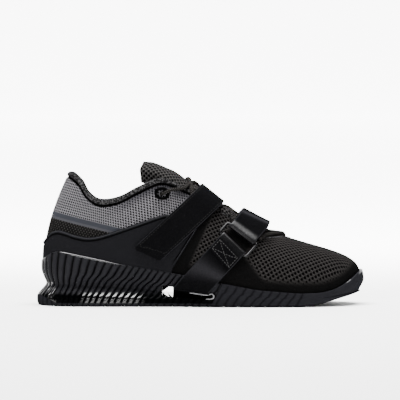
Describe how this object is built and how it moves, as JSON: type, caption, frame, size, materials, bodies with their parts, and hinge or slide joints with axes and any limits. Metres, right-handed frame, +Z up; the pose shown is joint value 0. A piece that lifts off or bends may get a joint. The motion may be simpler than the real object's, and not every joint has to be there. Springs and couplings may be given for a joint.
{
  "type": "weightlifting shoe",
  "caption": "Low weightlifting shoe for the right foot, with a raised ribbed heel, knitted upper, wrapped heel cage, laces and two straps.",
  "frame": {"origin": "on the floor, under the centre of the heel", "axes": "+X from heel to toe, +Y to the medial side, +Z up"},
  "size_m": [0.2958, 0.1057, 0.1265],
  "materials": {
    "rubber": "matte moulded rubber",
    "gloss_heel": "gloss moulded plastic",
    "knit": "knitted, with holes",
    "cage_film": "satin film",
    "insole_cloth": "brushed cloth",
    "strap_leather": "satin synthetic leather, stitched",
    "lace_cord": "braided cord",
    "ring_wire": "gloss black"
  },
  "bodies": {
    "root": {"outsole": "rubber", "heel_block": "gloss_heel", "upper": "knit", "tongue": "knit", "cage": "cage_film", "insole": "insole_cloth", "laces": "lace_cord", "eyelet_lateral": "lace_cord", "eyelet_medial": "lace_cord", "instep_strap": "strap_leather", "strap_anchor": "strap_leather", "ball_strap": "strap_leather", "ring": "ring_wire"}
  },
  "joints": []
}
